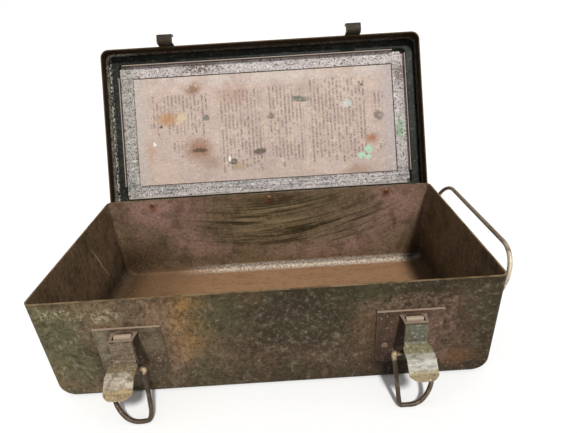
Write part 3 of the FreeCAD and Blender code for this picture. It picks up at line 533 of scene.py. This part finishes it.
def make_latch_paint():
    f = Finish("worn_latch_paint", "5c4a3a", 0.6, specular=0.15)
    x, y, z = f.axis("X"), f.axis("Y"), f.axis("Z")
    left = f.rise(x, 0.01, -0.01)
    right = f.rise(x, -0.01, 0.01)
    grime(f, "3c2f22", "8a7663", 0.6, 8 * MM)
    f.layer(f.both(right, f.rise(f.noise(14 * MM, 5, seed=141), 0.38, 0.6)), "6f5244", 0.8)
    f.layer(f.both(right, f.spot((0.116, 0, 0.040), (0.009, None, 0.026), 0.8)), "7f6252", 0.7)
    f.layer(f.both(left, f.rise(f.noise(14 * MM, 5, seed=143), 0.36, 0.6)), "665b47", 0.8)
    f.layer(f.both(left, f.spot((-0.117, 0, 0.050), (0.007, None, 0.022), 0.8)), "7c745e", 0.6)
    f.layer(f.rise(f.noise(6 * MM, 6, 0.75, seed=144), 0.42, 0.62), "2b2015", 0.60)
    f.layer(f.rise(f.noise(2.4 * MM, 6, 0.8, seed=146), 0.54, 0.68), "a08b76", 0.45)
    low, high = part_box("left_latch_plate")
    # painted shade on the lower part of each plate, under its lever
    foot = f.spot((0, 0, low.z), (None, None, 16 * MM), 0.6)
    f.layer(foot, "241a10", 0.45)
    # painted shadow along the left edge of the right plate
    f.layer(f.both(right, f.rise(x, 0.096, 0.080)), "21170e", 0.45)
    f.layer(right, "2a1e15", 0.28)
    out = f.math("SUBTRACT", FRONT, y)
    # painted light on the upward faces of the hood
    roof_painted_light = f.both(f.rise(f.axis("Z", f.normal), 0.6, 0.8), f.rise(out, 1.5 * MM, 2.5 * MM))
    f.layer(roof_painted_light, "93806f", 0.6)
    # painted shade on the sides of the hood
    hood = f.rise(out, 2.0 * MM, 3.0 * MM)
    sides = f.rise(f.math("ABSOLUTE", f.axis("X", f.normal)), 0.5, 0.8)
    f.layer(f.both(hood, sides), "1f160d", 0.75, 0.8)
    flecks(f, 2.0 * MM, 0.13, "a8957f", 0.6, seed=145)
    flecks(f, 2.4 * MM, 0.13, "2a2016", 0.7, seed=147)
    f.worn_edges(0.4 * MM, "8a7762", strength=0.55)
    f.layer(f.rise(z, high.z - 0.7 * MM, high.z - 0.3 * MM), "a08c79", 0.8, 0.5)
    f.height = f.math("MULTIPLY", f.noise(2.0 * MM, 6, 0.7, seed=149), 0.2 * MM)
    return f.finish()


def make_worn_lever():
    """The levers: paint on the upright face, rubbed to the metal on the thumb tab, with a painted highlight where
    the tab faces up.
    """
    f = Finish("rubbed_lever", "6b6450", 0.5, specular=0.4)
    x, y, z = f.axis("X"), f.axis("Y"), f.axis("Z")
    right = f.rise(x, -0.01, 0.01)
    left = f.rise(x, 0.01, -0.01)
    out = f.math("SUBTRACT", FRONT, y)
    bend = 13 * MM
    flare = 21 * MM
    lip = 31 * MM
    f.layer(left, "69533f", 0.8)
    grime(f, "40372a", "968b75", 0.5, 7 * MM)
    f.layer(f.both(right, f.rise(out, bend, bend - 1.5 * MM)), "4b5043", 0.80)
    f.layer(f.both(right, f.rise(out, bend - 1 * MM, bend + 1 * MM)), "847a58", 0.8)
    # rubbed metal on the tab, with a painted highlight where it faces up to the light
    bare_and_highlight = f.both(f.rise(out, flare - 1 * MM, flare + 1 * MM), f.rise(out, lip + 1 * MM, lip - 1 * MM))
    f.layer(f.both(right, bare_and_highlight), "a5a294", 0.9, 0.35)
    f.layer(f.both(right, f.rise(out, lip - 1 * MM, lip + 1 * MM)), "9d8b69", 0.85)
    f.layer(f.both(left, f.rise(out, bend, flare)), "8b7557", 0.7)
    f.layer(f.both(left, bare_and_highlight, f.rise(f.noise(6 * MM, 4, seed=151), 0.42, 0.6)), "b5ad9a", 0.75, 0.35)
    f.layer(f.both(left, f.rise(out, lip - 1 * MM, lip + 1 * MM)), "a28b63", 0.8)
    streak = f.rise(f.noise(3.0 * MM, 6, 0.75, stretch=(3, 1, 1), seed=153), 0.46, 0.62)
    f.layer(streak, "554d39", 0.65)
    f.layer(f.rise(f.noise(5 * MM, 6, 0.8, seed=152), 0.50, 0.62), "3b3122", 0.45)
    f.layer(f.rise(f.noise(2.0 * MM, 6, 0.8, seed=154), 0.54, 0.66), "d9d6cc", 0.45)
    flecks(f, 1.8 * MM, 0.13, "d3d0c4", 0.6, seed=155)
    flecks(f, 2.2 * MM, 0.11, "362c20", 0.6, seed=157)
    # painted shade on the lever's parts near the plate, low down; the lump above them is lighter
    inner = f.both(f.rise(out, 10 * MM, 8.5 * MM), f.rise(z, RIM - 30 * MM, RIM - 32 * MM))
    lump = f.both(f.rise(out, 8.6 * MM, 8.0 * MM), f.rise(z, RIM - 30 * MM, RIM - 28 * MM))
    f.layer(lump, "a8937f", 0.75, 0.45)
    f.layer(inner, "1d150d", 0.7, 0.8)
    f.worn_edges(0.4 * MM, "9a8a6e", strength=0.6)
    f.height = f.math("MULTIPLY", f.noise(2.4 * MM, 6, 0.7, seed=159), 0.35 * MM)
    return f.finish()


def make_wire_steel():
    """Bent wire: brown and dark on the bails, rubbed beige on the handle."""
    f = Finish("patinated_wire", "4a3a29", 0.45, specular=0.5, metallic=0.3)
    x, y = f.axis("X"), f.axis("Y")
    f.layer(f.rise(f.noise(14 * MM, 5, seed=161), 0.4, 0.62), "33261a", 0.75)
    f.layer(f.rise(f.noise(5 * MM, 5, 0.7, seed=163), 0.5, 0.66), "7a6850", 0.6, 0.35)
    # a pale spot at each wire's eye: rubbed metal with a painted highlight
    for side in ("left", "right"):
        low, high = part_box(side + "_latch_bail")
        eye = low.x + 2.2 * MM if side == "right" else high.x - 6 * MM
        f.layer(f.spot((eye, high.y, high.z - 1.5 * MM), (3.6 * MM, 6 * MM, 4 * MM), 0.3), "b09a78", 0.9, 0.4)
    handle = f.rise(x, HALF + 0.5 * MM, HALF + 2 * MM)
    f.layer(handle, "8f7f68", 0.85)
    f.layer(f.both(handle, f.rise(f.noise(9 * MM, 5, 0.7, seed=162), 0.45, 0.6)), "5f4f3b", 0.6)
    front_bend = f.rise(y, -0.040, -0.062)
    f.layer(f.both(handle, front_bend, f.rise(f.noise(5 * MM, 4, seed=164), 0.35, 0.55)), "cdc0a8", 0.8)
    f.layer(f.rise(f.noise(2.5 * MM, 5, 0.7, seed=165), 0.55, 0.68), "241a11", 0.6, 0.7)
    flecks(f, 1.6 * MM, 0.10, "b9a88f", 0.6, seed=167)
    f.height = f.math("MULTIPLY", f.noise(1.8 * MM, 5, 0.7, seed=169), 0.3 * MM)
    return f.finish()


def make_rivet_steel():
    f = Finish("rusty_rivet", "5a4535", 0.5, specular=0.4, metallic=0.3)
    f.layer(f.rise(f.noise(3 * MM, 5, seed=171), 0.45, 0.62), "7a654f", 0.7)
    f.layer(f.rise(f.noise(1.6 * MM, 5, 0.7, seed=173), 0.52, 0.66), "32241a", 0.7, 0.8)
    rear = f.rise(f.axis("Y"), 0.05, 0.07)
    f.layer(rear, "6f3d22", 0.5)
    f.worn_edges(0.4 * MM, "a08d76")
    f.height = f.math("MULTIPLY", f.noise(1.2 * MM, 4, seed=175), 0.15 * MM)
    return f.finish()


def make_hinge_steel():
    f = Finish("dull_hinge_steel", "4c4032", 0.55, specular=0.4, metallic=0.3)
    grime(f, "2a2118", "77685a", 0.7, 8 * MM)
    f.layer(f.rise(f.noise(5 * MM, 5, 0.7, seed=181), 0.55, 0.7), "6e4026", 0.6, 0.85)
    flecks(f, 2.0 * MM, 0.12, "9c907c", 0.5, seed=183)
    f.worn_edges(0.4 * MM, "968a76")
    f.height = f.math("MULTIPLY", f.noise(1.8 * MM, 5, 0.7, seed=185), 0.2 * MM)
    return f.finish()


def make_hook_steel():
    """The lid hooks: the lid's paint, rubbed pale where the bails ride."""
    f = Finish("rubbed_hook", "1a140f", 0.5, specular=0.1, closed_lid=True)
    grime(f, "0e0a07", "3a3025", 0.7, 6 * MM)
    low = RIM - 20 * MM
    f.layer(f.rise(f.axis("Z"), low + 2 * MM, low - 1 * MM), "54483a", 0.3)
    flecks(f, 1.8 * MM, 0.12, "a89c86", 0.5, seed=191)
    f.worn_edges(0.5 * MM, "a6987f")
    f.height = f.math("MULTIPLY", f.noise(1.8 * MM, 5, 0.7, seed=193), 0.2 * MM)
    return f.finish()


def make_floor_finish():
    f = Finish("pale_studio_floor", "f8f8f7", 0.9, specular=0.1)
    f.layer(f.rise(f.noise(0.4, 3), 0.3, 0.7), "f4f4f2", 0.6)
    return f.finish()


MATERIALS = {
    "body_paint": make_body_paint(),
    "lid_paint": make_lid_paint(),
    "gasket_rubber": make_gasket_rubber(),
    "retainer_paint": make_retainer_paint(),
    "label_paper": make_label_paper(),
    "latch_paint": make_latch_paint(),
    "worn_lever": make_worn_lever(),
    "wire_steel": make_wire_steel(),
    "rivet_steel": make_rivet_steel(),
    "hinge_steel": make_hinge_steel(),
}
HOOK_FINISH = make_hook_steel()

for name, node in NODES.items():
    finish = HOOK_FINISH if name.endswith("_lid_hook") else MATERIALS[SLOT_OF[name]]
    for slot in node.material_slots:
        slot.material = finish


# ---------------------------------------------------------------- bails

WIRE_R = 1.65 * MM


def make_bent_bail(side, name, corners):
    """A bail as years of use have bent it: the CAD loop's ends and reach, with uneven legs and foot.

    corners are (towards the outside of the box, down the loop, thickness), as shares of the loop's size.
    """
    low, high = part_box(name)
    middle = (low.x + high.x) / 2
    half = (high.x - low.x) / 2 - WIRE_R
    pivot = Vector((middle, high.y - WIRE_R, high.z - WIRE_R))
    foot = Vector((middle, low.y + WIRE_R, low.z + WIRE_R))
    curve = bpy.data.curves.new(name + "_wire", "CURVE")
    curve.dimensions = "3D"
    curve.bevel_depth = WIRE_R
    curve.bevel_resolution = 5
    curve.resolution_u = 10
    curve.use_fill_caps = True
    spline = curve.splines.new("NURBS")
    spline.points.add(len(corners) - 1)
    for point, (out, down, thick) in zip(spline.points, corners):
        at = pivot.lerp(foot, down) + Vector((side * half * out, 0, 0))
        point.co = (*at, 1)
        point.radius = thick
    spline.order_u = 3
    spline.use_endpoint_u = True
    source = bpy.data.objects.new(name + "_path", curve)
    bpy.context.collection.objects.link(source)
    graph = bpy.context.evaluated_depsgraph_get()
    mesh = bpy.data.meshes.new_from_object(source.evaluated_get(graph))
    bpy.data.objects.remove(source)
    for vertex in mesh.vertices:
        dent = noise.noise(vertex.co / (5 * MM)) * 0.10 * MM
        vertex.co -= vertex.normal * (0.06 * MM + dent if vertex.co.y < pivot.y - 2 * WIRE_R else 0.0)
    for face in mesh.polygons:
        face.use_smooth = True
    mesh.materials.clear()
    mesh.materials.append(MATERIALS["wire_steel"])
    piece = bpy.data.objects.new(name + "_wire", mesh)
    bpy.context.collection.objects.link(piece)
    return piece


END = 4.8 / 13.0        # the wire's ends, inside the lever's webs
RIGHT_BAIL = ((-END, 0, 1), (-0.70, 0, 1), (-0.97, 0, 1.3), (-1.0, 0.04, 1.25), (-0.99, 0.16, 1.0),
              (-0.96, 0.40, 1), (-0.93, 0.66, 1), (-0.92, 0.86, 1), (-0.88, 1.0, 1), (-0.60, 1.0, 1),
              (-0.10, 1.0, 1), (0.34, 0.93, 1), (0.80, 0.72, 1), (1.0, 0.46, 1), (1.0, 0.22, 1), (1.0, 0, 1),
              (0.70, 0, 1), (END, 0, 1))
LEFT_BAIL = ((-END, 0, 1), (-0.56, 0, 1), (-0.70, 0, 1.1), (-0.73, 0.05, 1.1), (-0.76, 0.18, 1.0),
             (-0.86, 0.42, 1), (-0.95, 0.66, 1), (-1.0, 0.84, 1), (-0.90, 0.98, 1), (-0.60, 1.0, 1),
             (-0.10, 1.0, 1), (0.36, 0.92, 1), (0.82, 0.70, 1), (1.0, 0.44, 1), (1.0, 0.22, 1), (1.0, 0, 1),
             (0.70, 0, 1), (END, 0, 1))

right_bail_wire = make_bent_bail(1, "right_latch_bail", RIGHT_BAIL)
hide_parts("right_latch_bail")
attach(right_bail_wire, "right_bail")

left_bail_wire = make_bent_bail(-1, "left_latch_bail", LEFT_BAIL)
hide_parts("left_latch_bail")
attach(left_bail_wire, "left_bail")


# ---------------------------------------------------------------- camera, stage and light

STAGE_HALF = 30.0
STAGE_GAP = 0.2 * MM         # the floor lies just under the box
SKY_LIGHT = 0.45             # the room as a source of light
SKY_SEEN = 1.0               # the room where it is looked at
SUN_STRENGTH = 3.0
SUN_WIDTH = radians(7)
SUN_FROM = Vector((0.22, -0.75, 1.0))


def place_camera():
    """Lens of about 26 mm, a little right of the middle, looking down on the front."""
    location = Vector((17.0, -298.9, 252.3)) * MM
    yaw, pitch, roll = 0.0032, 0.4724, 0.0609
    ahead = Vector((sin(yaw) * cos(pitch), cos(yaw) * cos(pitch), -sin(pitch)))
    across = Vector((cos(yaw), -sin(yaw), 0.0))
    down = ahead.cross(across)
    right = across * cos(roll) + down * sin(roll)
    below = down * cos(roll) - across * sin(roll)
    data = bpy.data.cameras.new("camera")
    data.lens = 25.86
    data.sensor_width = 36.0
    data.sensor_fit = "HORIZONTAL"
    data.clip_start = 0.01
    camera = bpy.data.objects.new("camera", data)
    turn = Matrix((right, -below, -ahead)).transposed().to_4x4()
    camera.matrix_world = Matrix.Translation(location) @ turn
    bpy.context.collection.objects.link(camera)
    bpy.context.scene.camera = camera


def make_stage():
    """Wide pale floor under the object."""
    mesh = bpy.data.meshes.new("studio_floor")
    bm = bmesh.new()
    corners = ((-1, -1), (1, -1), (1, 1), (-1, 1))
    bm.faces.new([bm.verts.new((x * STAGE_HALF, y * STAGE_HALF, 0.0)) for x, y in corners])
    bm.to_mesh(mesh)
    bm.free()
    floor = bpy.data.objects.new("studio_floor", mesh)
    floor.data.materials.append(make_floor_finish())
    floor.location.z = -STAGE_GAP
    bpy.context.collection.objects.link(floor)


def make_light():
    """Soft light from above the front, a little from the right, in a pale room."""
    world = bpy.data.worlds.new("studio")
    world.use_nodes = True
    nodes, links = world.node_tree.nodes, world.node_tree.links
    background = nodes["Background"]
    background.inputs["Color"].default_value = (1, 1, 1, 1)
    # white where it is looked at, dimmer as a source of light
    seen = nodes.new("ShaderNodeLightPath").outputs["Is Camera Ray"]
    strength = nodes.new("ShaderNodeMapRange")
    strength.inputs["To Min"].default_value = SKY_LIGHT
    strength.inputs["To Max"].default_value = SKY_SEEN
    links.new(seen, strength.inputs["Value"])
    links.new(strength.outputs["Result"], background.inputs["Strength"])
    bpy.context.scene.world = world
    data = bpy.data.lights.new("key", "SUN")
    data.energy = SUN_STRENGTH
    data.angle = SUN_WIDTH
    light = bpy.data.objects.new("key", data)
    light.rotation_euler = (-SUN_FROM).to_track_quat("-Z", "Y").to_euler()
    light.location = SUN_FROM
    bpy.context.collection.objects.link(light)
    bpy.context.scene.view_settings.view_transform = "Standard"


place_camera()
make_stage()
make_light()
